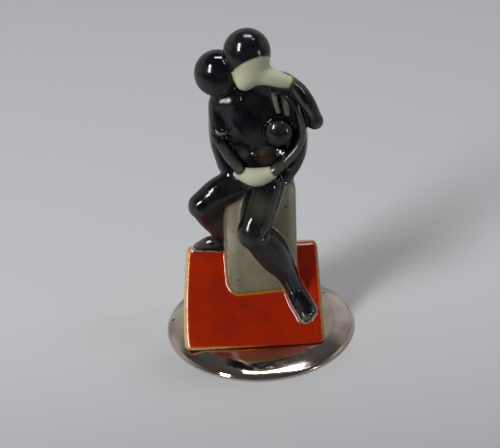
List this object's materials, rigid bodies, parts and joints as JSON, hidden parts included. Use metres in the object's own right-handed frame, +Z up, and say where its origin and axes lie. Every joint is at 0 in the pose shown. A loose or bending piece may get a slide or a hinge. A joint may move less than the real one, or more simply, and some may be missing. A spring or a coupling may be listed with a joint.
{
  "type": "glazed ceramic figurine on a metal base",
  "caption": "Small glossy ceramic group of an embracing, faceless seated couple on a block and sloping plinth, fixed on a round plated metal base.",
  "frame": {"origin": "centre of the round base's underside, on the surface it stands on", "axes": "+Z up, -Y towards the front of the group, +X to the viewer's right"},
  "size_m": [0.052, 0.052, 0.0883],
  "materials": {
    "glazed_ceramic": "glossy brushed glazes on ceramic: blue-black figures, cream face and hands, grey-beige block, orange-red plinth",
    "plated_metal": "bright plated metal with a rounded shoulder, a few small dull specks"
  },
  "bodies": {
    "root": {"ceramic_figure_group": "glazed_ceramic", "plated_base_disc": "plated_metal"}
  },
  "joints": []
}
